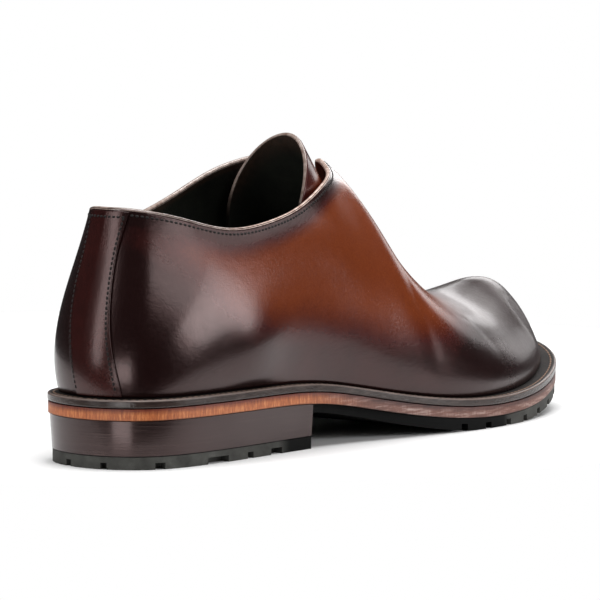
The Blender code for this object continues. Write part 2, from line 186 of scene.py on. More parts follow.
def spline(knots, rows, closed=False):
    """A smooth curve through rows of numbers, as a function of the knots."""
    knots = np.asarray(knots, float)
    rows = np.asarray(rows, float)
    count = len(knots)
    step = np.diff(knots)
    slope = np.diff(rows, axis=0) / step[:, None]
    left = np.zeros((count, count))
    right = np.zeros(rows.shape)
    for i in range(1, count - 1):
        left[i, i - 1:i + 2] = step[i - 1], 2 * (step[i - 1] + step[i]), step[i]
        right[i] = 6 * (slope[i] - slope[i - 1])
    left[0, 0] = 1
    left[-1, -1] = 1
    if closed:
        left[0, 0] = 2 * (step[0] + step[-1])
        left[0, 1] = step[0]
        left[0, -2] = step[-1]
        right[0] = 6 * (slope[0] - slope[-1])
        left[-1, 0] = -1
    bend = np.linalg.solve(left, right)

    def at(value):
        value = np.atleast_1d(np.asarray(value, float))
        i = np.clip(np.searchsorted(knots, value) - 1, 0, count - 2)
        b = ((value - knots[i]) / step[i])[:, None]
        a = 1 - b
        curve = ((a ** 3 - a) * bend[i] + (b ** 3 - b) * bend[i + 1]) * step[i][:, None] ** 2 / 6
        return a * rows[i] + b * rows[i + 1] + curve

    return at


def table_curve(table):
    """A smooth curve through a table whose first column holds the knots."""
    table = np.asarray(table, float)
    return spline(table[:, 0], table[:, 1:])


def edge_halves():
    """The welt's edge as two close polylines, each from the heel's back to the toe."""
    points = np.array(EDGE + EDGE[:1], float)
    reach = np.linalg.norm(np.diff(points, axis=0), axis=1)
    knots = np.concatenate([[0], np.cumsum(np.sqrt(reach))])
    curve = spline(knots, points, closed=True)
    lateral = curve(np.linspace(0, knots[TOE_ROW], EDGE_POINTS))
    medial = curve(np.linspace(knots[-1], knots[TOE_ROW], EDGE_POINTS))
    return {LATERAL: lateral, MEDIAL: medial}


def way_along(line):
    """The way from a polyline's start to each of its points."""
    return np.concatenate([[0], np.cumsum(np.linalg.norm(np.diff(line, axis=0), axis=1))])


def unit(vectors):
    return vectors / np.linalg.norm(vectors, axis=-1, keepdims=True)


HALVES = edge_halves()
WAYS = {side: way_along(line) for side, line in HALVES.items()}
ALL_EDGE = np.concatenate(list(HALVES.values()))
MIDDLE = (ALL_EDGE.min(axis=0) + ALL_EDGE.max(axis=0)) / 2

sole_at = table_curve(SOLE)
rubber_at = table_curve(RUBBER_SOLE)
centre_at = table_curve(CENTRE)
strip_at = table_curve(STRIP)
section_at = spline(np.linspace(0, 1, len(SECTIONS)), SECTIONS)
tongue_at = spline(np.linspace(0, 1, len(TONGUE)), TONGUE)


def welt_top(x):
    return sole_at(x)[:, 0]


def welt_showing(x):
    return sole_at(x)[:, 1]


def rubber_inset(x):
    return rubber_at(x)[:, 0]


def rubber_under(x):
    """Underside of the rubber: it never goes below the floor, which gives it the flat that it stands on."""
    return np.maximum(welt_top(x) + RUBBER_TOP - rubber_at(x)[:, 1], 0)


def flat(value):
    return lambda x: np.full(len(x), float(value))


def raised(curve, amount):
    return lambda x: curve(x) + amount


def edge_point(side, share):
    """A point of the welt's edge at a share of the way from the heel's back to the toe."""
    way = WAYS[side]
    line = HALVES[side]
    reach = np.clip(share, 0, 1) * way[-1]
    return np.stack([np.interp(reach, way, line[:, 0]), np.interp(reach, way, line[:, 1])], axis=-1)


def edge_outward(side, share):
    """The level direction out of the edge; straight back at the heel's middle and ahead at the toe's."""
    share = np.asarray(share, float)
    step = 0.004
    run = unit(edge_point(side, share + step) - edge_point(side, share - step))
    out = np.stack([run[:, 1], -run[:, 0]], axis=-1) * -side
    out[share <= 0] = (-1, 0)
    out[share >= 1] = (1, 0)
    return out


def upper_face(side, share, level):
    """Points of the upper's outer face: share from the heel's back to the toe, level from welt to top."""
    share, level = np.broadcast_arrays(share, level)
    shape = share.shape
    share = share.ravel()
    up = level.ravel()[:, None]
    down = 1 - up
    along, top_x, top_half, top_z, lift, faces, drop, flare, low, high = section_at(share).T
    edge = edge_point(side, along)
    out = edge_outward(side, along)
    foot = edge - out * welt_showing(edge[:, 0])[:, None]
    start = np.column_stack([foot, welt_top(edge[:, 0]) + GAP])
    flare = np.radians(flare)[:, None]
    leave = start + low[:, None] * np.column_stack([out * np.sin(flare), np.cos(flare)])
    half = np.where(top_x > THROAT_END, 0, np.maximum(top_half, 0))
    height = top_z + (lift if side == MEDIAL else 0)
    end = np.column_stack([top_x, centre_at(top_x)[:, 0] + side * half, height])
    faces = np.radians(faces)
    drop = np.radians(drop)
    level_reach = high * np.cos(drop)
    aside = side * level_reach * np.sin(faces)
    arrive = end + np.column_stack([level_reach * np.cos(faces), aside, -high * np.sin(drop)])
    face = down ** 3 * start + 3 * up * down ** 2 * leave + 3 * up ** 2 * down * arrive + up ** 3 * end
    return face.reshape(shape + (3,))


def upper_outward(side, share, level):
    """The direction out of the upper's face."""
    step = 0.002
    ahead = upper_face(side, np.minimum(share + step, 1), level)
    behind = upper_face(side, np.maximum(share - step, 0), level)
    above = upper_face(side, share, np.minimum(level + step, 1))
    below = upper_face(side, share, np.maximum(level - step, 0))
    return unit(np.cross(ahead - behind, above - below) * -side)


def tongue_row(across, steps):
    """Points along the tongue's outer face, across it from -1 on the lateral edge to 1 on the medial one."""
    step = 0.01
    share = np.linspace(0, 1 - TONGUE_FALL * abs(across - TONGUE_PEAK) ** TONGUE_ROUND, steps)
    x, z, radius, lateral, medial = tongue_at(share).T
    run = unit((tongue_at(share + step) - tongue_at(share - step))[:, :2])
    bend = np.radians(medial if across > 0 else lateral) * across
    depth = radius * (1 - np.cos(bend))
    y = centre_at(x)[:, 0] + radius * np.sin(bend)
    return np.column_stack([x - run[:, 1] * depth, y, z + run[:, 0] * depth])


def smooth_step(low, high, value):
    """0 on low's side, 1 on high's side, with an even slope between."""
    part = np.clip((value - low) / (high - low), 0, 1)
    return part * part * (3 - 2 * part)


# nodes of a material


def new_material(name, recipe, *more):
    """A material whose shader gets the inputs that the recipe makes in its tree of nodes."""
    made = bpy.data.materials.new(name)
    made.use_nodes = True
    tree = made.node_tree
    set_inputs(tree, tree.nodes["Principled BSDF"], recipe(tree, *more))
    return made


def add(tree, kind, settings=None, **inputs):
    """A shader node with its settings and inputs."""
    made = tree.nodes.new("ShaderNode" + kind)
    for name, value in (settings or {}).items():
        setattr(made, name, value)
    set_inputs(tree, made, inputs)
    return made


def feed(tree, socket, value):
    """Set an input, or link it to another node's socket."""
    if isinstance(value, bpy.types.NodeSocket):
        tree.links.new(value, socket)
    else:
        socket.default_value = value


def set_inputs(tree, node, inputs):
    """Feed a node's inputs by name."""
    for name, value in inputs.items():
        feed(tree, node.inputs[name.replace("_", " ")], value)


def place_of(tree, stretch=(1, 1, 1)):
    """The place on the shoe in metres, stretched for patterns that run one way."""
    place = add(tree, "TexCoord").outputs["Object"]
    return add(tree, "Mapping", Vector=place, Scale=stretch).outputs["Vector"]


def painted(tree, name):
    """The number that the mesh keeps under that name."""
    return add(tree, "Attribute", {"attribute_name": name}).outputs["Fac"]


def fade(tree, value, low, high):
    """0 on low's side, 1 on high's side, with an even slope between."""
    settings = {"interpolation_type": "SMOOTHSTEP"}
    return add(tree, "MapRange", settings, Value=value, From_Min=low, From_Max=high).outputs["Result"]


def noise(tree, place, scale, detail=3, rough=0.55):
    """Noise from 0 to 1 with about that many blobs to a metre."""
    return add(tree, "TexNoise", Vector=place, Scale=scale, Detail=detail, Roughness=rough).outputs["Fac"]


def cells(tree, place, scale):
    """Distance to the middle of small cells."""
    return add(tree, "TexVoronoi", Vector=place, Scale=scale).outputs["Distance"]


def reckon(tree, operation, *values):
    """What an operation makes of numbers or sockets."""
    made = add(tree, "Math", {"operation": operation})
    for socket, value in zip(made.inputs, values):
        feed(tree, socket, value)
    return made.outputs["Value"]


def layered(tree, value, share, base):
    """A share of a value on top of a base."""
    return reckon(tree, "MULTIPLY_ADD", value, share, base)


def spread(tree, value, low, high):
    """A value from 0 to 1 brought to the range low to high."""
    return layered(tree, value, high - low, low)


def ramp(tree, value, stops):
    """Colours along a value, from rows of place and colour."""
    made = add(tree, "ValToRGB", Fac=value)
    points = made.color_ramp.elements
    while len(points) < len(stops):
        points.new(1)
    for point, (place, colour) in zip(points, stops):
        point.position = place
        point.color = (*colour, 1)
    return made.outputs["Color"]


def blended(tree, share, first, second, how="MIX"):
    """Two colours, or sockets with colours, mixed by a share."""
    first = (*first, 1) if isinstance(first, tuple) else first
    second = (*second, 1) if isinstance(second, tuple) else second
    return add(tree, "MixRGB", {"blend_type": how}, Fac=share, Color1=first, Color2=second).outputs["Color"]


def bump(tree, height, strength, depth, under=None):
    """A normal bent by a height, on top of another one if that is given."""
    made = add(tree, "Bump", Height=height, Strength=strength, Distance=depth)
    if under:
        feed(tree, made.inputs["Normal"], under)
    return made.outputs["Normal"]


# materials: each recipe returns the shader's inputs; shades are places along a ramp with their colours

COGNAC = (0.175, 0.034, 0.0078)
BROWN = (0.11, 0.019, 0.0056)
OXBLOOD = (0.05, 0.009, 0.0075)
NEAR_BLACK = (0.0095, 0.0028, 0.0028)
PATINA_SHADES = [(0.0, COGNAC), (0.3, BROWN), (0.62, OXBLOOD), (0.95, NEAR_BLACK)]
FIBRE_SHADES = [(0.3, (0.72, 0.7, 0.7)), (0.7, (1.2, 1.2, 1.2))]
WARM_SHINE = (1.0, 0.68, 0.66, 1)


def burnished_roughness(tree, place):
    """Rubbed unevenly, and hazy over the top and the front of the toe."""
    axes = add(tree, "SeparateXYZ", Vector=place).outputs
    toe = fade(tree, axes["X"], 0.01, 0.07)
    top = fade(tree, axes["Z"], 0.03, 0.042)
    front = fade(tree, axes["X"], 0.06, 0.11)
    hazy = reckon(tree, "MULTIPLY", toe, reckon(tree, "MAXIMUM", top, front))
    rubbed = spread(tree, noise(tree, place, 750, 4, 0.7), 0.13, 0.33)
    return layered(tree, hazy, 0.14, rubbed)


def burnished_leather(tree):
    """Smooth calf with a hand-rubbed finish: cognac that darkens where the mesh's patina says so."""
    place = place_of(tree)
    clouds = spread(tree, noise(tree, place, 55, 5, 0.62), -0.16, 0.16)
    mottle = spread(tree, noise(tree, place, 480, 4, 0.7), -0.11, 0.11)
    dark = reckon(tree, "ADD", painted(tree, "patina"), reckon(tree, "ADD", clouds, mottle))
    fibre = ramp(tree, noise(tree, place, 1500, 4, 0.7), FIBRE_SHADES)
    colour = blended(tree, 0.8, ramp(tree, dark, PATINA_SHADES), fibre, "MULTIPLY")
    waves = layered(tree, noise(tree, place, 420, 3), 0.3, noise(tree, place, 120, 3))
    grain = layered(tree, cells(tree, place, 1700), 0.6, noise(tree, place, 700, 4))
    wavy = bump(tree, waves, 0.18, 0.0004)
    return dict(
        Base_Color=colour, Roughness=burnished_roughness(tree, place), Specular_Tint=WARM_SHINE,
        Coat_Weight=0.15, Coat_Roughness=0.12, Normal=bump(tree, grain, 0.32, 0.00012, wavy),
    )


# tan of the raw edges, and on the collar's bead the same pale as painted highlight
TAN_EDGE_AND_HIGHLIGHT_SHADES = [(0.3, (0.36, 0.22, 0.17)), (0.65, (0.85, 0.68, 0.6))]
DARK_EDGE_SHADES = [(0.3, (0.006, 0.004, 0.003)), (0.7, (0.02, 0.011, 0.008))]


def edge_leather(tree):
    """Polished rolled and cut edges: pale where the mesh's tan value is 1, dark where it is 0; on the
    collar's bead the pale is painted highlight.
    """
    place = place_of(tree)
    patchy = noise(tree, place, 420, 4)
    pale = ramp(tree, patchy, TAN_EDGE_AND_HIGHLIGHT_SHADES)
    dark = ramp(tree, patchy, DARK_EDGE_SHADES)
    return dict(
        Base_Color=blended(tree, painted(tree, "tan"), dark, pale), Roughness=0.28,
        Coat_Weight=0.5, Coat_Roughness=0.12, Normal=bump(tree, noise(tree, place, 1500), 0.15, 0.0002),
    )


LINING_SHADES = [(0.3, (0.006, 0.007, 0.0045)), (0.7, (0.014, 0.016, 0.010))]
BINDING_SHADES = [(0.3, (0.045, 0.017, 0.010)), (0.7, (0.12, 0.05, 0.028))]


def lining_leather(tree):
    """Very dark green lining, dull and slightly wrinkled, bound in tan where the mesh's tan value is high."""
    place = place_of(tree)
    dark = ramp(tree, noise(tree, place, 140, 5), LINING_SHADES)
    bound = ramp(tree, noise(tree, place, 420, 4), BINDING_SHADES)
    grain = layered(tree, cells(tree, place, 1100), 0.7, noise(tree, place, 220, 4))
    return dict(
        Base_Color=blended(tree, painted(tree, "tan"), dark, bound), Roughness=0.6,
        Normal=bump(tree, grain, 0.3, 0.0003),
    )


SOCK_SHADES = [(0.3, (0.016, 0.017, 0.013)), (0.7, (0.035, 0.034, 0.026))]


def insole_leather(tree):
    """Dark sock leather, dull and faintly clouded."""
    place = place_of(tree)
    colour = ramp(tree, noise(tree, place, 60, 5), SOCK_SHADES)
    grain = layered(tree, cells(tree, place, 900), 0.8, noise(tree, place, 300, 4))
    return dict(Base_Color=colour, Roughness=0.6, Normal=bump(tree, grain, 0.3, 0.0003))


def thread(tree, colour):
    """Waxed thread with a fine twist."""
    place = place_of(tree)
    light = tuple(min(1, part * 1.7) for part in colour)
    shade = ramp(tree, noise(tree, place, 2600, 2), [(0.35, colour), (0.7, light)])
    twist = bump(tree, noise(tree, place, 3500), 0.4, 0.0002)
    return dict(Base_Color=shade, Roughness=0.8, Normal=twist)


WELT_TOP_SHADES = [(0.3, (0.004, 0.0028, 0.0025)), (0.7, (0.014, 0.008, 0.006))]
WELT_EDGE_SHADES = [(0.3, (0.02, 0.0125, 0.011)), (0.52, (0.034, 0.022, 0.019)), (0.72, (0.065, 0.046, 0.04))]
WELT_LIP_SHADES = [(0.3, (0, 0, 0)), (0.75, (1, 1, 1))]
# painted highlight: a pale line along the welt's rounded top outer edge, where it catches the light
WELT_LIP_HIGHLIGHT = (0.3, 0.23, 0.205)


def welt_leather(tree):
    """Black waxed top, browner streaked edge where the mesh's rim value is 1, painted highlight on the lip.
    """
    place = place_of(tree)
    rim = painted(tree, "rim")
    top = ramp(tree, noise(tree, place, 180, 5), WELT_TOP_SHADES)
    streaks = noise(tree, place_of(tree, (0.16, 0.16, 1)), 900, 5, 0.7)
    edge = ramp(tree, streaks, WELT_EDGE_SHADES)
    lip = ramp(tree, painted(tree, "lip_highlight"), WELT_LIP_SHADES)
    # where the lip's painted highlight shows, broken by streaks
    patchy = reckon(tree, "MULTIPLY", lip, spread(tree, streaks, 0.2, 1.0))
    colour = blended(tree, patchy, blended(tree, rim, top, edge), WELT_LIP_HIGHLIGHT)
    grain = layered(tree, cells(tree, place, 1300), 0.5, noise(tree, place, 500, 5))
    return dict(
        Base_Color=colour, Roughness=spread(tree, rim, 0.8, 0.24), Specular_IOR_Level=0.4,
        Normal=bump(tree, grain, 0.3, 0.0003),
    )


HEEL_TAN_SHADES = [(0.25, (0.17, 0.033, 0.009)), (0.5, (0.42, 0.115, 0.03)), (0.75, (0.66, 0.27, 0.1))]
FORE_TAN_SHADES = [(0.3, (0.05, 0.014, 0.009)), (0.5, (0.15, 0.055, 0.036)), (0.68, (0.46, 0.34, 0.3))]
# painted shade: the layer's upper part, under the welt, is darkened for the shadow it lies in; its foot is
# darker too
SHADOW_AND_FOOT_SHADES = [(0.06, (0.25, 0.2, 0.18)), (0.2, (1, 1, 1)), (0.6, (1, 1, 1)), (1.0, (0.33, 0.16, 0.15))]


def midsole_leather(tree):
    """Tan sole leather cut across its fibres: bright at the heel, duller ahead, painted shade towards the
    welt.
    """
    place = place_of(tree)
    along = add(tree, "SeparateXYZ", Vector=place).outputs["X"]
    fibres = noise(tree, place_of(tree, (1, 1, 0.16)), 1300, 4, 0.7)
    layers = noise(tree, place_of(tree, (0.04, 0.04, 1)), 1800, 3, 0.6)
    streaks = noise(tree, place_of(tree, (0.1, 0.1, 1)), 620, 5, 0.7)
    plies = layered(tree, streaks, 0.8, reckon(tree, "MULTIPLY", fibres, 0.2))
    bright = ramp(tree, fibres, HEEL_TAN_SHADES)
    dull = ramp(tree, plies, FORE_TAN_SHADES)
    colour = blended(tree, fade(tree, along, -0.06, -0.01), bright, dull)
    # 1 at the top and 0 at the foot, where the painted shade and the darker foot lie
    shadow_and_foot = layered(tree, layers, 0.2, painted(tree, "layer"))
    colour = blended(tree, 1.0, colour, ramp(tree, shadow_and_foot, SHADOW_AND_FOOT_SHADES), "MULTIPLY")
    relief = reckon(tree, "ADD", fibres, layers)
    return dict(Base_Color=colour, Roughness=0.48, Normal=bump(tree, relief, 0.35, 0.0003))


HEEL_SHADES = [(0.3, (0.006, 0.0032, 0.003)), (0.52, (0.014, 0.0085, 0.008)), (0.72, (0.035, 0.024, 0.022))]


def heel_leather(tree):
    """Dark stacked lifts with fine level lines, waxed."""
    lines = noise(tree, place_of(tree, (0.03, 0.03, 1)), 1500, 4, 0.65)
    clouds = noise(tree, place_of(tree), 70, 4)
    streaks = layered(tree, lines, 0.7, reckon(tree, "MULTIPLY", clouds, 0.3))
    return dict(
        Base_Color=ramp(tree, streaks, HEEL_SHADES), Roughness=spread(tree, lines, 0.16, 0.3),
        Specular_Tint=WARM_SHINE, Coat_Weight=0.2, Coat_Roughness=0.15,
        Normal=bump(tree, lines, 0.25, 0.0002),
    )


RUBBER_SHADES = [(0.3, (0.042, 0.041, 0.038)), (0.6, (0.075, 0.075, 0.069)), (0.8, (0.12, 0.119, 0.11))]
# painted shade: the rubber under the waist is coloured black for the shadow that it lies in
WAIST_SHADE_BLACK = (0.004, 0.004, 0.004)


def rubber(tree):
    """Dark grey rubber, dusty and finely pitted, with painted shade that blackens it at the waist, under the
    arch.
    """
    place = place_of(tree)
    along = add(tree, "SeparateXYZ", Vector=place).outputs["X"]
    # 1 ahead of the waist and behind it, 0 at the waist where the painted shade lies
    outside_waist_shade = reckon(tree, "MAXIMUM", fade(tree, along, 0.062, 0.069), fade(tree, along, -0.06, -0.07))
    dust = noise(tree, place, 120, 6, 0.65)
    colour = blended(tree, outside_waist_shade, WAIST_SHADE_BLACK, ramp(tree, dust, RUBBER_SHADES))
    rough = spread(tree, dust, 0.46, 0.66)
    pits = bump(tree, noise(tree, place, 1800, 4), 0.25, 0.0002)
    return dict(Base_Color=colour, Roughness=rough, Specular_IOR_Level=0.06, Normal=pits)


# making pieces


def make(name, points, faces, paints):
    """An object from points in millimetres."""
    placed = (np.asarray(points, float).reshape(-1, 3) - [MIDDLE[0], MIDDLE[1], 0]) * MM
    mesh = bpy.data.meshes.new(name)
    mesh.from_pydata(placed.tolist(), [], faces)
    for paint in paints:
        mesh.materials.append(paint)
    mesh.shade_smooth()
    made = bpy.data.objects.new(name, mesh)
    bpy.context.scene.collection.objects.link(made)
    return made


def settle(made, slot, *nodes):
    """Let a piece ride on the shoe and let it stand for the plain solids."""
    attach(made, "root")
    if nodes:
        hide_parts(*nodes)


def thicken(sheet, thickness, outwards=False):
    """Give a sheet its thickness; its other face takes the second paint and its rim the third."""
    solid = sheet.modifiers.new("thickness", "SOLIDIFY")
    solid.thickness = thickness * MM
    solid.offset = 1 if outwards else -1
    solid.material_offset = 1
    solid.material_offset_rim = 2


def round_edges(made, width, degrees=40):
    """Round the edges at which the faces turn by more than that angle."""
    bevel = made.modifiers.new("round edges", "BEVEL")
    bevel.width = width * MM
    bevel.segments = 3
    bevel.limit_method = "ANGLE"
    bevel.angle_limit = math.radians(degrees)
    bevel.harden_normals = True


def face_outwards(made):
    """Turn a closed body's faces outwards."""
    work = bmesh.new()
    work.from_mesh(made.data)
    bmesh.ops.recalc_face_normals(work, faces=work.faces)
    work.to_mesh(made.data)
    work.free()


def drop_loose(made):
    """Delete the points that no face uses."""
    work = bmesh.new()
    work.from_mesh(made.data)
    loose = [point for point in work.verts if not point.link_faces]
    bmesh.ops.delete(work, geom=loose, context="VERTS")
    work.to_mesh(made.data)
    work.free()


def grid_faces(rows, columns):
    """Faces of an open grid of points."""
    faces = []
    for i in range(rows - 1):
        for j in range(columns - 1):
            corner = i * columns + j
            faces.append((corner, corner + columns, corner + columns + 1, corner + 1))
    return faces


def wall_faces(first, second, count):
    """Faces between two closed loops, from the number of each loop's first point."""
    faces = []
    for i in range(count):
        after = (i + 1) % count
        faces.append((first + i, second + i, second + after, first + after))
    return faces


def paint_points(made, name, values):
    """Keep a number from 0 to 1 for each point, which the materials read."""
    layer = made.data.attributes.new(name, "FLOAT", "POINT")
    layer.data.foreach_set("value", np.asarray(values, np.float32).ravel())


# upper

RIBS = 180  # sections on each side
LEVELS = 64  # points of a section
RIB_SHARES = (np.arange(RIBS) + 0.5) / RIBS
END_SHARE = 0.002  # share that a line keeps from the middle of back or toe
THROAT_SHARES = np.linspace(0.5, 0.8, 400)  # among which the throat lies

# soft hollows and swells that the leather took on the last, on both sides
RELIEF = [
    # share, height above the welt, reach along, reach up, height of the swell
    (0.17, 30, 0.05, 16, 0.5),
    (0.30, 40, 0.05, 14, -0.5),
]
RELIEF_FULL = (0.08, 0.9)  # levels between which no relief fades out

# a swell over the lateral heel's stiffener, and the fold where the lateral toe turns to its tip
SWELLS = [
    # x, y, z of its middle, reach, height
    (69, -37, 44, 15, 1.9),
]
TOE_FOLD = [(269, -2, 54), (263.5, -10, 50.5), (262, -17, 45.5), (263.5, -24, 37.5), (267, -29, 28)]
TOE_FOLD_HEIGHT = 0.6
TOE_FOLD_REACH = 6.0
TOE_CAP = (8.0, 19.0)  # round the toe's tip: reach of the cap, and where it has faded out
TOE_CAP_POWERS = [(i, j) for i in range(4) for j in range(4 - i)]

# where the leather is rubbed dark, as x, heights above the welt and ways below the open edge
HEEL_DARK = (36, 40)  # x and height of a place on the dark heel's slanting front
HEEL_DARK_LEAN = 0.8  # how far back that front goes for each millimetre up
HEEL_FADE = (38, -10)  # from that front ahead: where the dark has ended, and where it is full
TOE_DARK = 150  # x at which the toe darkens, low down
TOE_DARK_LEAN = 0.9  # how far ahead that moves for each millimetre up
TOE_DARK_RISE = (14, 74)  # heights between which it moves
TOE_FADE = 55
WELT_DARK = 0.9
WELT_FADE = (40, 12)
COLLAR_DARK = 0.9
COLLAR_DARK_END = (200, 176)
COLLAR_FADE = ((60, 120, 150), (16, 11, 9))  # x and width of the dark band
COLLAR_FULL = 3

BINDING = (3.8, 3.0)  # tan band inside the collar: where it has faded out, and where it is full
BINDING_TAN = {LATERAL: 0.9, MEDIAL: 0.3}
FACING_FROM = (136, 146)  # x at which the unlined facings start
FACING_WIDE = (24, 18)
FACING_TAN = 0.8

RIM = 1.05  # radius of the bead along the collar
RIM_AT_THROAT = 0.6
RIM_NARROWS = (152, 176)  # x between which the bead narrows
RIM_SUNK = 0.45  # its middle below the edge
RIM_SHORT = 1.0  # from its ends to the throat's end
RIM_BELOW = 0.97  # level from which the way up to the edge is taken
RIM_RIBS = 220
RIM_AROUND = 10
RIM_HIGHLIGHT = ((0, 40, 80, 140, 165), (0.3, 0.4, 1.0, 1.0, 0.3))  # x and painted highlight on the lateral side, as paleness of the bead
RIM_MEDIAL_HIGHLIGHT = 0.55  # painted highlight on the medial side, as paleness of the bead

EYELETS = 5  # on each facing
EYELET_FIRST = 151.0  # x of the topmost one's rib, where it meets the throat
EYELET_STEP = 10.8  # along the throat's edge
EYELET_RADIUS = 1.5
EYELET_RIM = 0.3  # width of the hole's rounded rim
EYELET_IN = 8.5  # from the facing's edge
EYELET_RIBS = 3  # cells of the grid that make way for each
EYELET_LEVELS = 6
EYELET_DARK = 0.55


def toe_fold(points):
    """Height of the fold at each point."""
    away = np.full(points.shape[:-1], np.inf)
    for start, end in zip(np.array(TOE_FOLD[:-1]), np.array(TOE_FOLD[1:])):
        way = end - start
        part = np.clip((points - start) @ way / (way @ way), 0, 1)
        away = np.minimum(away, np.linalg.norm(points - start - part[..., None] * way, axis=-1))
    return TOE_FOLD_HEIGHT * np.exp(-(away / TOE_FOLD_REACH) ** 2)


def swells(points):
    """Height of the swells at each point."""
    swell = np.zeros(points.shape[:-1])
    for *middle, reach, height in SWELLS:
        swell += height * np.exp(-(np.linalg.norm(points - middle, axis=-1) / reach) ** 2)
    return swell


def way_up(points):
    """Length from the welt up each rib to each of its points."""
    steps = np.linalg.norm(np.diff(points, axis=1), axis=2)
    return np.concatenate([np.zeros((len(points), 1)), np.cumsum(steps, axis=1)], axis=1)


def upper_side(side):
    """Points of one side's grid, with the soft relief, and their ways up the ribs."""
    share = RIB_SHARES[:, None]
    level = np.linspace(0, 1, LEVELS)[None, :]
    points = upper_face(side, share, level)
    up = way_up(points)
    swell = swells(points) + toe_fold(points)
    for at, height, along, reach, depth in RELIEF:
        swell += depth * np.exp(-((share - at) / along) ** 2 - ((up - height) / reach) ** 2)
    full_from, full_to = RELIEF_FULL
    swell *= smooth_step(0, full_from, level) * smooth_step(1, full_to, level)
    return points + upper_outward(side, share, level) * swell[..., None], up


def burnish(points, up, top_x):
    """How dark the leather is rubbed: 0 is cognac, 1 nearly black."""
    x = points[..., 0]
    below = up[:, -1:] - up
    heel_front = HEEL_DARK[0] - HEEL_DARK_LEAN * (up - HEEL_DARK[1])
    heel = smooth_step(heel_front + HEEL_FADE[0], heel_front + HEEL_FADE[1], x)
    toe_start = TOE_DARK + TOE_DARK_LEAN * (np.clip(up, *TOE_DARK_RISE) - TOE_DARK_RISE[0])
    toe = smooth_step(toe_start, toe_start + TOE_FADE, x)
    welt_band = WELT_DARK * smooth_step(*WELT_FADE, up)
    open_top = smooth_step(*COLLAR_DARK_END, top_x)[:, None]
    band = np.interp(top_x, *COLLAR_FADE)[:, None]
    top_band = COLLAR_DARK * smooth_step(band, COLLAR_FULL, below) * open_top
    return 1 - (1 - heel) * (1 - toe) * (1 - welt_band) * (1 - top_band)


def binding(side, up, top_x):
    """How tan the inside is: a narrow band below the open edge, and the unlined facings."""
    below = up[:, -1:] - up
    facing = smooth_step(*FACING_FROM, top_x)[:, None] * smooth_step(*FACING_WIDE, below)
    return BINDING_TAN[side] * np.maximum(smooth_step(*BINDING, below), FACING_TAN * facing)


def grid_point(grid, rib, level):
    """Point at a place between the grid's own points."""
    i = int(rib)
    j = int(level)
    near = grid[i, j] * (j + 1 - level) + grid[i, j + 1] * (level - j)
    far = grid[i + 1, j] * (j + 1 - level) + grid[i + 1, j + 1] * (level - j)
    return near * (i + 1 - rib) + far * (rib - i)


def eyelets(grid, up, top_x):
    """Each eyelet of one side: its block of the grid (first rib and level, ribs, levels) and its middle."""
    way = way_along(grid[:, -1])
    first = np.interp(EYELET_FIRST, top_x, way)
    found = []
    for i in range(EYELETS):
        rib = np.interp(first + i * EYELET_STEP, way, np.arange(RIBS))
        heights = up[round(rib)]
        level = np.interp(heights[-1] - EYELET_IN, heights, np.arange(LEVELS))
        block = (round(rib - EYELET_RIBS / 2), round(level - EYELET_LEVELS / 2), EYELET_RIBS, EYELET_LEVELS)
        found.append((block, grid_point(grid, rib, level)))
    return found


def block_loop(block):
    """Grid places round a block, in turn."""
    rib, level, ribs, levels = block
    loop = [(rib + i, level) for i in range(ribs)]
    loop += [(rib + ribs, level + j) for j in range(levels)]
    loop += [(rib + ribs - i, level + levels) for i in range(ribs)]
    loop += [(rib, level + levels - j) for j in range(levels)]
    return loop


def punch(points, faces, loop, middle):
    """Close the gap between a loop of points and a round hole about the middle, with a narrow rim."""
    out = points[loop] - middle
    across = np.linalg.svd(out - out.mean(axis=0))[2][2]
    out = unit(out - np.outer(out @ across, across))
    count = len(loop)
    for reach in (EYELET_RADIUS + EYELET_RIM, EYELET_RADIUS):
        ring = list(range(len(points), len(points) + count))
        points = np.concatenate([points, middle + reach * out])
        for i in range(count):
            after = (i + 1) % count
            faces.append((loop[i], loop[after], ring[after], ring[i]))
        loop = ring
    return points


def cap_toe(points, tip):
    """Even out the surface round the tip, where all ribs meet, to a smooth one through what lies about it."""
    inner, outer = TOE_CAP
    out = points - tip
    away = np.linalg.norm(out, axis=1)
    about = (away > inner) & (away < outer)
    axes = np.linalg.svd(out[about] - out[about].mean(axis=0), full_matrices=False)[2]
    u, v, height = (out @ axes.T).T
    terms = np.column_stack([(u / outer) ** i * (v / outer) ** j for i, j in TOE_CAP_POWERS])
    fit = np.linalg.lstsq(terms[about], height[about], rcond=None)[0]
    change = (terms @ fit - height) * smooth_step(outer, inner, away)
    return points + change[:, None] * axes[2]


def share_of_top(x):
    """Share at which the throat's edge passes x."""
    return float(np.interp(x, section_at(THROAT_SHARES)[:, 1], THROAT_SHARES))


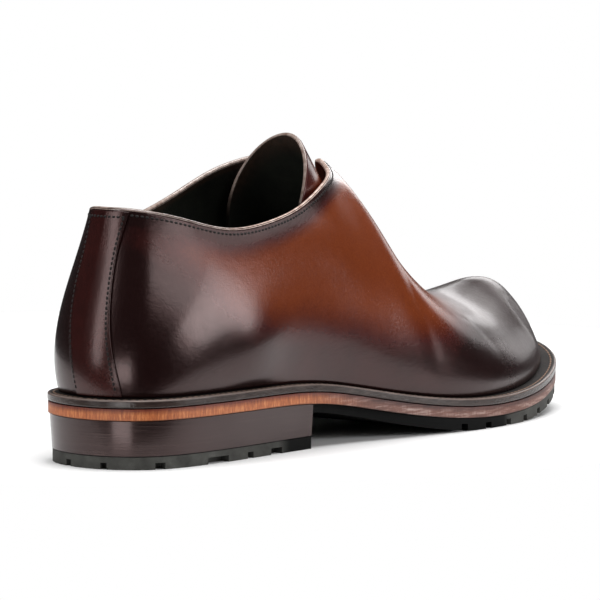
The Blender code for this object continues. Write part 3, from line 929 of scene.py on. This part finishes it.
def make_rim(edge):
    """The bead along the edge of collar and throat, pale with painted highlight over the lateral side."""
    share = np.linspace(END_SHARE, share_of_top(THROAT_END - RIM_SHORT), RIM_RIBS)
    top = np.ones_like(share)
    top_x = section_at(share)[:, 1]
    size = np.interp(top_x, RIM_NARROWS, (RIM, RIM_AT_THROAT))[:, None, None]
    turn = np.linspace(0, 2 * np.pi, RIM_AROUND, endpoint=False)[None, :, None]
    rows = {}
    for side in (LATERAL, MEDIAL):
        face = upper_face(side, share, top)
        out = upper_outward(side, share, top)
        up = unit(face - upper_face(side, share, top * RIM_BELOW))
        middle = face - out * (WALL / 2) - up * RIM_SUNK
        rows[side] = middle[:, None] + size * (np.cos(turn) * out[:, None] + np.sin(turn) * up[:, None])
    points = np.concatenate([rows[LATERAL][::-1], rows[MEDIAL]])
    last = (len(points) - 1) * RIM_AROUND
    faces = [tuple(range(RIM_AROUND)), tuple(range(last, last + RIM_AROUND))]
    for first in range(0, last, RIM_AROUND):
        faces += wall_faces(first, first + RIM_AROUND, RIM_AROUND)
    made = make("collar_rim", points, faces, [edge])
    face_outwards(made)
    # painted highlight: the bead's tan value makes it pale where it catches the light
    pale = np.concatenate([np.interp(top_x, *RIM_HIGHLIGHT)[::-1], np.full(RIM_RIBS, RIM_MEDIAL_HIGHLIGHT)])
    paint_points(made, "tan", np.repeat(pale, RIM_AROUND))
    settle(made, "upper_leather")


def upper_faces(number, blocks):
    """Faces of the grid, closed round the shoe, without the eyelets' blocks; a doubled corner is left out."""
    punched = set()
    for (rib, level, ribs, levels), middle in blocks:
        punched.update((rib + i, level + j) for i in range(ribs) for j in range(levels))
    faces = []
    for i in range(len(number)):
        after = (i + 1) % len(number)
        for j in range(LEVELS - 1):
            if (i, j) not in punched:
                corners = (number[i, j], number[after, j], number[after, j + 1], number[i, j + 1])
                faces.append([int(corner) for corner in dict.fromkeys(corners)])
    return faces


def make_upper(leather, lining, edge):
    """The upper with its lining and eyelets; ahead of the throat its two sides share their top points."""
    top_x = section_at(RIB_SHARES)[:, 1]
    lateral, lateral_up = upper_side(LATERAL)
    medial, medial_up = upper_side(MEDIAL)
    dark = np.concatenate([burnish(lateral, lateral_up, top_x), burnish(medial, medial_up, top_x)[::-1]])
    tan = np.concatenate([binding(LATERAL, lateral_up, top_x), binding(MEDIAL, medial_up, top_x)[::-1]])
    points = np.concatenate([lateral, medial[::-1]])
    count = len(points)
    number = np.arange(count * LEVELS).reshape(count, LEVELS)
    for i in np.nonzero(top_x > THROAT_END)[0]:
        number[count - 1 - i, -1] = number[i, -1]
    blocks = eyelets(lateral, lateral_up, top_x)
    for (rib, level, ribs, levels), middle in eyelets(medial, medial_up, top_x):
        blocks.append(((count - 1 - rib - ribs, level, ribs, levels), middle))
    faces = upper_faces(number, blocks)
    points = points.reshape(-1, 3)
    for block, middle in blocks:
        points = punch(points, faces, [int(number[place]) for place in block_loop(block)], middle)
    points = cap_toe(points, lateral[-1, -1])
    rings = np.zeros(len(points) - dark.size)
    sheet = make("upper_leather", points, faces, [leather, lining, edge])
    paint_points(sheet, "patina", np.concatenate([dark.ravel(), rings + EYELET_DARK]))
    paint_points(sheet, "tan", np.concatenate([tan.ravel(), rings]))
    drop_loose(sheet)
    thicken(sheet, WALL)
    settle(sheet, "upper_leather", "upper")


# back strip

STRIP_ACROSS = 33
STRIP_ALONG = 72
STRIP_LIFT = 0.12  # over the upper's face
STRIP_DARK = 0.8  # how dark it is rubbed, and what its edges and its top add
STRIP_EDGE_DARK = 0.14
STRIP_TOP_DARK = 0.08
STRIP_EDGE_FROM = 0.7  # share of the half width, and level, at which edges and top begin
STRIP_TOP_FROM = 0.9


def strip_face(across, level, lift):
    """Points over the upper, from -1 on the strip's lateral edge to 1 on its medial one, and the ways out."""
    lateral_share, medial_share = strip_at(level).T
    side = MEDIAL if across > 0 else LATERAL
    share = abs(across) * (medial_share if across > 0 else lateral_share)
    out = upper_outward(side, share, level)
    return upper_face(side, share, level) + out * lift, out


def make_back_strip(leather):
    """The strip over the back seam."""
    level = np.linspace(STRIP_FOOT, STRIP_TOP, STRIP_ALONG)
    across = np.linspace(1, -1, STRIP_ACROSS)
    rows = [strip_face(place, level, STRIP_LIFT)[0] for place in across]
    sheet = make("back_strip_leather", rows, grid_faces(STRIP_ACROSS, STRIP_ALONG), [leather])
    edge_dark = STRIP_EDGE_DARK * smooth_step(STRIP_EDGE_FROM, 1, np.abs(across))[:, None]
    top_dark = STRIP_TOP_DARK * smooth_step(STRIP_TOP_FROM, 1, level)[None, :]
    paint_points(sheet, "patina", STRIP_DARK + edge_dark + top_dark)
    thicken(sheet, STRIP_THICK, outwards=True)
    round_edges(sheet, width=0.4)
    settle(sheet, "upper_leather", "back_strip")


# tongue

TONGUE_ACROSS = 45
TONGUE_ALONG = 60
TONGUE_DARK = 0.32  # how dark it is rubbed, and what its edges add
TONGUE_EDGE_DARK = 0.3
TONGUE_EDGE_FROM = 0.75  # share of the half width, and of the length, at which the edges begin
TONGUE_TIP_FROM = 0.85
TONGUE_TAN = 0.4  # how tan its raw edge is
TONGUE_TAN_FROM = (90, 106)  # heights between which the tan begins


def make_tongue(leather, lining, edge):
    """The tongue, leather outside and lined inside, with a raw edge."""
    across = np.linspace(-1, 1, TONGUE_ACROSS)
    rows = np.array([tongue_row(place, TONGUE_ALONG) for place in across])
    sheet = make("tongue_leather", rows, grid_faces(TONGUE_ACROSS, TONGUE_ALONG), [leather, lining, edge])
    near_side = smooth_step(TONGUE_EDGE_FROM, 1, np.abs(across))[:, None]
    near_tip = smooth_step(TONGUE_TIP_FROM, 1, np.linspace(0, 1, TONGUE_ALONG))[None, :]
    near_edge = np.maximum(near_side, near_tip)
    paint_points(sheet, "patina", TONGUE_DARK + TONGUE_EDGE_DARK * near_edge)
    paint_points(sheet, "tan", TONGUE_TAN * smooth_step(*TONGUE_TAN_FROM, rows[..., 2]) * near_edge)
    thicken(sheet, TONGUE_THICK)
    round_edges(sheet, width=0.7)
    settle(sheet, "upper_leather", "tongue")


# sole

WELT_LIP_DEPTH = 1.1  # height of the edge's lip, over which its painted highlight fades out
WELT_STITCH_IN = 2.4  # from the welt's edge to the stitches and to the middle of their channel
CHANNEL_HALF = 1.0  # half the channel's width
CHANNEL_DEEP = 0.35
MIDSOLE_LOOPS = 7  # loops of points from the tan layer's top to its underside


def edge_loop(shares, inset, height):
    """A closed loop of points inside the welt's edge: up the lateral side and back on the medial one."""
    halves = []
    for side in (LATERAL, MEDIAL):
        edge = edge_point(side, shares[side])
        x = edge[:, 0]
        plan = edge - edge_outward(side, shares[side]) * inset(x)[:, None]
        halves.append(np.column_stack([plan, height(x)]))
    return np.concatenate([halves[0], halves[1][::-1]])


def cap_faces(first, count):
    """Faces over a loop, each one from the lateral to the medial side."""
    faces = []
    for i in range(count // 2 - 1):
        faces.append((first + i, first + i + 1, first + count - 2 - i, first + count - 1 - i))
    return faces


def make_plate(name, loops, paint):
    """A closed body from its top loop to its bottom loop."""
    count = len(loops[0])
    last = (len(loops) - 1) * count
    faces = cap_faces(0, count) + cap_faces(last, count)
    for i in range(len(loops) - 1):
        faces += wall_faces(i * count, (i + 1) * count, count)
    made = make(name, loops, faces, [paint])
    face_outwards(made)
    return made


def make_ring(name, loops, paint):
    """A closed body that goes round as a frame, through its loops in turn."""
    count = len(loops[0])
    faces = []
    for i in range(len(loops)):
        faces += wall_faces(i * count, (i + 1) % len(loops) * count, count)
    made = make(name, loops, faces, [paint])
    face_outwards(made)
    return made


def whole_shares():
    """Even shares of the way from the heel's back to the toe, on both sides."""
    share = (np.arange(EDGE_STEPS) + 0.5) / EDGE_STEPS
    return {LATERAL: share, MEDIAL: share}


def share_at(side, x):
    """Share of the way at which a side's edge passes x."""
    return float(np.interp(x, HALVES[side][:, 0], WAYS[side] / WAYS[side][-1]))


def lug_shares(first, last, lugs):
    """Shares of the way with a point at both ends of every notch, and which steps are notches."""
    length = WAYS[LATERAL][-1]
    cuts = [((middle - width / 2) / length, (middle + width / 2) / length) for middle, width in lugs]
    marks = [mark for cut in cuts for mark in cut]
    shares = marks + [first, last]
    for share in np.linspace(first, last, int((last - first) * EDGE_STEPS) + 2)[1:-1]:
        in_notch = any(start < share < end for start, end in cuts)
        near = min(abs(share - mark) for mark in marks) < LUG_CLEAR
        if not (in_notch or near):
            shares.append(share)
    shares = np.array(sorted(shares))
    middles = (shares[:-1] + shares[1:]) / 2
    notched = [any(start < middle < end for start, end in cuts) for middle in middles]
    return shares, notched


def both_sides(share, end, x):
    """The same shares on both sides, but that one end of the medial ones lies at x."""
    shares = {LATERAL: share, MEDIAL: share.copy()}
    shares[MEDIAL][end] = share_at(MEDIAL, x)
    return shares


def make_lugged(name, shares, notched, inset, top, under, paint):
    """A rubber plate whose lower edge is cut by notches."""
    deep = raised(inset, LUG_DEPTH)
    roof = raised(under, LUG_HEIGHT)
    rows = [(inset, top), (inset, roof), (inset, under), (deep, under), (deep, roof)]
    loops = [edge_loop(shares, *row) for row in rows]
    count = len(loops[0])
    top_out, roof_out, low_out, low_in, roof_in = [i * count for i in range(len(loops))]
    cut = notched + [False] + notched[::-1] + [False]
    faces = cap_faces(top_out, count) + cap_faces(low_in, count) + wall_faces(top_out, roof_out, count)
    for i in range(count):
        after = (i + 1) % count
        corner = roof_in if cut[i] else low_out
        faces.append((roof_out + i, corner + i, corner + after, roof_out + after))
        faces.append((corner + i, low_in + i, low_in + after, corner + after))
        if cut[i] != cut[i - 1]:
            faces.append((roof_out + i, low_out + i, low_in + i, roof_in + i))
    made = make(name, loops, faces, [paint])
    drop_loose(made)
    face_outwards(made)
    return made


def make_welt(paint):
    """The welt, with a rounded rim and a shallow channel for its stitches."""
    shares = whole_shares()
    within = raised(welt_showing, WALL + WELT_SEAT)
    under = raised(welt_top, WELT_UNDER)
    rows = [
        # inset, height, rim value, painted highlight value
        (flat(0), welt_top, 1, 1),
        (flat(0), raised(welt_top, -WELT_LIP_DEPTH), 1, 0),
        (flat(0), under, 1, 0),
        (within, under, 0, 0),
        (within, welt_top, 0, 0),
        (flat(WELT_STITCH_IN + CHANNEL_HALF), welt_top, 0, 0),
        (flat(WELT_STITCH_IN), raised(welt_top, -CHANNEL_DEEP), 0, 0),
        (flat(WELT_STITCH_IN - CHANNEL_HALF), welt_top, 0.15, 0),
    ]
    loops = [edge_loop(shares, inset, height) for inset, height, rim, lip_highlight in rows]
    made = make_ring("welt_strip", loops, paint)
    paint_points(made, "rim", np.repeat([row[2] for row in rows], len(loops[0])))
    paint_points(made, "lip_highlight", np.repeat([row[3] for row in rows], len(loops[0])))
    round_edges(made, width=0.7, degrees=50)
    settle(made, "welt_leather", "welt")


def make_midsole(paint):
    """The tan layer, slightly rounded at its edge."""
    shares = whole_shares()
    heights = np.linspace(MIDSOLE_TOP, MIDSOLE_UNDER, MIDSOLE_LOOPS)
    loops = [edge_loop(shares, flat(MIDSOLE_INSET), raised(welt_top, height)) for height in heights]
    made = make_plate("midsole_layer", loops, paint)
    paint_points(made, "layer", np.repeat(np.linspace(1, 0, MIDSOLE_LOOPS), len(loops[0])))
    round_edges(made, width=0.5)
    settle(made, "midsole_leather", "midsole", "heel_rand")


def make_insole(paint):
    """The sock over the insole."""
    shares = whole_shares()
    within = raised(welt_showing, WALL + WELT_SEAT + INSOLE_PLAY)
    heights = (INSOLE_TOP, INSOLE_UNDER)
    loops = [edge_loop(shares, within, raised(welt_top, height)) for height in heights]
    made = make_plate("insole_sock", loops, paint)
    round_edges(made, width=0.8)
    settle(made, "insole_leather", "insole")


def make_outsole(paint):
    """The rubber waist and forefoot."""
    lugs = [(FORE_LUG_FIRST + i * FORE_LUG_STEP, FORE_LUG_WIDTH) for i in range(FORE_LUG_COUNT)]
    start = HEEL_BREAST + BREAST_GAP
    share, notched = lug_shares(share_at(LATERAL, start), 1 - HALF_STEP, lugs)
    shares = both_sides(share, 0, start)
    top = raised(welt_top, RUBBER_TOP)
    made = make_lugged("outsole_rubber", shares, notched, rubber_inset, top, rubber_under, paint)
    round_edges(made, width=0.3, degrees=50)
    settle(made, "rubber", "outsole")


def make_heel(leather, rubber_paint):
    """The heel: a block of leather lifts and the notched rubber under it."""
    share, notched = lug_shares(HALF_STEP, share_at(LATERAL, HEEL_BREAST), HEEL_LUGS)
    shares = both_sides(share, -1, HEEL_BREAST)
    loops = [
        edge_loop(shares, flat(STACK_TOP_INSET), raised(welt_top, RUBBER_TOP)),
        edge_loop(shares, flat(STACK_FOOT_INSET), flat(TOP_PIECE + GAP)),
    ]
    made = make_plate("heel_lifts", loops, leather)
    round_edges(made, width=0.35, degrees=60)
    settle(made, "heel_leather", "heel_stack")
    inset = flat(TOP_PIECE_INSET)
    made = make_lugged("heel_rubber", shares, notched, inset, flat(TOP_PIECE), flat(0), rubber_paint)
    round_edges(made, width=0.3, degrees=50)
    settle(made, "rubber", "heel_top_piece")


# stitches

TOP_STITCH_DOWN = 2.4  # from the edge of collar and throat
TOP_STITCH_END = 9.0  # from the throat's end
TOP_STITCH_LEVEL = 0.96  # at which that row meets the back strip
TOP_LEVELS = np.linspace(0.8, 1, 80)  # among which it is found
STRIP_STITCH_IN = 0.14  # share of the strip's half width
STRIP_STITCH_ENDS = (0.03, 0.02)  # levels that its rows keep from the strip's foot and top
STRIP_STITCH_LEVEL = 0.955  # of the row across the strip
TONGUE_STITCH = 0.9  # share of the tongue's half width
TONGUE_STITCH_PART = slice(8, -2)  # of the points along the tongue
WELT_STITCH_SUNK = 0.25
UPPER_PITCH = 2.0
UPPER_BEAD = (0.7, 0.48, 0.2)  # half the length, width and height of a stitch
WELT_PITCH = 3.1
WELT_BEAD = (1.25, 0.42, 0.32)
TOP_POINTS = 400  # points of each row's line
STRIP_POINTS = 200
ACROSS_POINTS = 40
WELT_POINTS = 900
BEAD_RINGS = 7
BEAD_AROUND = 8
BEAD_END = 0.12  # angle at which its ends are cut off
BEAD_BLUNT = 0.6  # 1 is an ellipsoid, less is blunter
DARK_THREAD = (0.004, 0.0022, 0.002)
PALE_THREAD = (0.16, 0.10, 0.07)


def walk(points, outs, pitch):
    """Places every pitch along a polyline, with the way ahead and the way out at each."""
    way = way_along(points)
    at = np.arange(pitch / 2, way[-1], pitch)
    places = np.column_stack([np.interp(at, way, points[:, k]) for k in range(3)])
    out = np.column_stack([np.interp(at, way, outs[:, k]) for k in range(3)])
    ahead = unit(np.gradient(places, axis=0))
    return places, ahead, unit(out - ahead * np.sum(out * ahead, axis=1, keepdims=True))


def bead_shape():
    """A long rounded bead of unit size and its faces."""
    turn = np.linspace(0, 2 * np.pi, BEAD_AROUND, endpoint=False)
    points = []
    for angle in np.linspace(BEAD_END, np.pi - BEAD_END, BEAD_RINGS):
        girth = np.sin(angle) ** BEAD_BLUNT
        points += [(-np.cos(angle), girth * np.cos(t), girth * np.sin(t)) for t in turn]
    last = (BEAD_RINGS - 1) * BEAD_AROUND
    faces = [tuple(range(BEAD_AROUND))[::-1], tuple(range(last, last + BEAD_AROUND))]
    for first in range(0, last, BEAD_AROUND):
        faces += wall_faces(first + BEAD_AROUND, first, BEAD_AROUND)
    return np.array(points), faces


def make_stitches(name, rows, pitch, size, paint, slot):
    """Rows of raised stitches as one mesh."""
    shape, shape_faces = bead_shape()
    points = []
    for line, outs in rows:
        places, ahead, out = walk(line, outs, pitch)
        across = np.cross(out, ahead)
        bead = (
            shape[None, :, :1] * ahead[:, None] * size[0]
            + shape[None, :, 1:2] * across[:, None] * size[1]
            + shape[None, :, 2:] * out[:, None] * size[2]
        )
        points.append((places[:, None] + bead).reshape(-1, 3))
    points = np.concatenate(points)
    faces = []
    for first in range(0, len(points), len(shape)):
        faces += [tuple(first + corner for corner in face) for face in shape_faces]
    settle(make(name, points, faces, [paint]), slot)


def top_row(side, first, last):
    """The stitch line below the edge of collar and throat, on one side."""
    share = np.linspace(first, last, TOP_POINTS)
    up = way_up(upper_face(side, share[:, None], TOP_LEVELS[None, :]))
    at = np.array([np.interp(row[-1] - TOP_STITCH_DOWN, row, TOP_LEVELS) for row in up])
    return upper_face(side, share, at), upper_outward(side, share, at)


def strip_row(across):
    """A stitch line along the strip's edge."""
    from_foot, from_top = STRIP_STITCH_ENDS
    level = np.linspace(STRIP_FOOT + from_foot, STRIP_TOP - from_top, STRIP_POINTS)
    return strip_face(across, level, STRIP_LIFT + STRIP_THICK)


def strip_top_row():
    """The stitch line below the collar across the strip."""
    level = np.array([STRIP_STITCH_LEVEL])
    places = np.linspace(1, -1, ACROSS_POINTS)
    found = [strip_face(across, level, STRIP_LIFT + STRIP_THICK) for across in places]
    return np.concatenate([row[0] for row in found]), np.concatenate([row[1] for row in found])


def welt_row(side):
    """The stitch line on the welt."""
    share = np.linspace(END_SHARE, 1 - END_SHARE, WELT_POINTS)
    edge = edge_point(side, share)
    plan = edge - edge_outward(side, share) * WELT_STITCH_IN
    line = np.column_stack([plan, welt_top(edge[:, 0]) - WELT_STITCH_SUNK])
    return line, np.tile((0.0, 0.0, 1.0), (len(line), 1))


def tongue_rows():
    """Stitch lines inside the tongue's two long edges."""
    step = 0.02
    rows = []
    for across in (-TONGUE_STITCH, TONGUE_STITCH):
        line = tongue_row(across, TONGUE_ALONG)
        aside = tongue_row(across + step, TONGUE_ALONG) - tongue_row(across - step, TONGUE_ALONG)
        outs = np.cross(np.gradient(line, axis=0), aside)
        rows.append((line[TONGUE_STITCH_PART], outs[TONGUE_STITCH_PART]))
    return rows


def make_all_stitches():
    """Dark stitches on upper, strip and tongue, and pale ones on the welt."""
    lateral_strip, medial_strip = strip_at(TOP_STITCH_LEVEL)[0]
    throat = share_of_top(THROAT_END - TOP_STITCH_END)
    rows = [top_row(LATERAL, lateral_strip + END_SHARE, throat)]
    rows += [top_row(MEDIAL, medial_strip + END_SHARE, throat)]
    rows += [strip_row(1 - STRIP_STITCH_IN), strip_row(STRIP_STITCH_IN - 1), strip_top_row()]
    rows += tongue_rows()
    dark = new_material("dark_thread", thread, DARK_THREAD)
    make_stitches("upper_stitches", rows, UPPER_PITCH, UPPER_BEAD, dark, "upper_leather")
    rows = [welt_row(LATERAL), welt_row(MEDIAL)]
    pale = new_material("pale_thread", thread, PALE_THREAD)
    make_stitches("welt_stitches", rows, WELT_PITCH, WELT_BEAD, pale, "welt_leather")


# floor, light and camera

VIEW_TURN = 0.8691  # direction of view from above, from +Y towards +X
VIEW_PITCH = 0.0475  # downwards
VIEW_REACH = 1777.4  # from the camera to the heel's back along the view
VIEW_SIDE = 42.5  # camera to the right of the heel's back
VIEW_HEIGHT = 232.5
VIEW_AIM = (87, 156)  # of the shoe's middle, right and down in the photograph's pixels
VIEW_FOCUS = 3373.9  # focal length in the photograph's pixels
VIEW_CLOSER = 1.36  # how much larger the one shoe is framed
PICTURE = 600
SENSOR = 36.0


def make_camera():
    """The photograph's view of the shoe, moved closer."""
    ahead = Vector((math.sin(VIEW_TURN), math.cos(VIEW_TURN), 0))
    right = Vector((math.cos(VIEW_TURN), -math.sin(VIEW_TURN), 0))
    look = ahead * math.cos(VIEW_PITCH) - Vector((0, 0, math.sin(VIEW_PITCH)))
    above = right.cross(look)
    place = right * VIEW_SIDE - ahead * VIEW_REACH + Vector((-MIDDLE[0], -MIDDLE[1], VIEW_HEIGHT))
    look = look + right * (VIEW_AIM[0] / VIEW_FOCUS) - above * (VIEW_AIM[1] / VIEW_FOCUS)
    data = bpy.data.cameras.new("camera")
    data.sensor_width = SENSOR
    data.lens = VIEW_FOCUS / PICTURE * SENSOR * VIEW_CLOSER
    data.clip_end = 100
    made = bpy.data.objects.new("camera", data)
    made.location = place * MM
    made.rotation_mode = "QUATERNION"
    made.rotation_quaternion = look.to_track_quat("-Z", "Y")
    bpy.context.scene.collection.objects.link(made)
    bpy.context.scene.camera = made


FLOOR_RADIUS = 340
FLOOR_CORNERS = 128
FLOOR_AHEAD = 80  # its middle lies ahead of the shoe's and to the medial side
FLOOR_ASIDE = 178
FLOOR_PAINT = {"Base_Color": (0.92, 0.92, 0.92, 1), "Roughness": 0.7, "Specular_IOR_Level": 0.2}


def make_floor():
    """A small pale disc under the shoe, which runs out into the backdrop."""
    paint = new_material("floor", lambda tree: FLOOR_PAINT)
    turn = np.linspace(0, 2 * np.pi, FLOOR_CORNERS, endpoint=False)
    rim = np.column_stack([np.cos(turn), np.sin(turn), 0 * turn]) * FLOOR_RADIUS
    rim += [MIDDLE[0] + FLOOR_AHEAD, MIDDLE[1] + FLOOR_ASIDE, 0]
    floor = make("floor", rim, [tuple(range(len(rim)))], [paint])


# softboxes, in degrees, metres and watts, each turned to the shoe
LIGHTS = [
    # name, turn from +X, rise, distance, width, height, roll, power
    ("overhead", 0, 90, 1.5, 1.2, 1.2, 0, 33),
    ("lateral_low", -66, 7, 1.2, 0.5, 0.31, -40, 3.7),
    ("lateral_high", -95, 29, 1.2, 0.95, 0.25, -25, 3.1),
    ("over_collar", -53, 27, 1.2, 0.7, 0.2, 0, 1.0),
    ("beyond_toe", 25, 19, 1.3, 0.52, 0.28, 0, 2.2),
    ("past_toe", 3, 11, 1.3, 0.44, 0.28, 0, 0.75),
    ("over_toe", 12, 34, 1.3, 0.5, 0.4, 0, 0.7),
    ("behind_heel", 165, 19, 0.9, 0.2, 0.77, 0, 1.9),
    ("low_behind_heel", -163, -10, 0.9, 0.36, 0.26, 0, 1.25),
]
LIGHTS_AIM = 50  # height at which they are aimed
AMBIENT = 0.045  # strength of the backdrop as a light
BACKDROP = 1.0  # and as the camera sees it


def make_lights():
    """The softboxes."""
    for name, turn, rise, distance, width, height, roll, power in LIGHTS:
        data = bpy.data.lights.new(name, "AREA")
        data.shape = "RECTANGLE"
        data.size = width
        data.size_y = height
        data.energy = power
        made = bpy.data.objects.new(name, data)
        turn, rise, roll = (math.radians(angle) for angle in (turn, rise, roll))
        way = Vector((math.cos(rise) * math.cos(turn), math.cos(rise) * math.sin(turn), math.sin(rise)))
        made.location = way * distance + Vector((0, 0, LIGHTS_AIM * MM))
        made.rotation_mode = "QUATERNION"
        made.rotation_quaternion = (-way).to_track_quat("-Z", "Y") @ Quaternion((0, 0, 1), roll)
        bpy.context.scene.collection.objects.link(made)


def make_world():
    """A white backdrop that lights the shoe softly."""
    world = bpy.data.worlds.new("studio")
    world.use_nodes = True
    bpy.context.scene.world = world
    tree = world.node_tree
    seen = add(tree, "LightPath").outputs["Is Camera Ray"]
    strength = spread(tree, seen, AMBIENT, BACKDROP)
    feed(tree, tree.nodes["Background"].inputs["Color"], (1, 1, 1, 1))
    feed(tree, tree.nodes["Background"].inputs["Strength"], strength)


def make_shoe():
    """All pieces of the shoe."""
    leather = new_material("burnished_leather", burnished_leather)
    lining = new_material("lining_leather", lining_leather)
    edge = new_material("edge_leather", edge_leather)
    make_upper(leather, lining, edge)
    make_rim(edge)
    make_back_strip(leather)
    make_tongue(leather, lining, edge)
    make_insole(new_material("insole_leather", insole_leather))
    make_welt(new_material("welt_leather", welt_leather))
    make_midsole(new_material("midsole_leather", midsole_leather))
    rubber_paint = new_material("rubber", rubber)
    make_outsole(rubber_paint)
    make_heel(new_material("heel_leather", heel_leather), rubber_paint)
    make_all_stitches()


make_shoe()
make_floor()
make_lights()
make_world()
make_camera()
bpy.context.scene.view_settings.view_transform = "Standard"
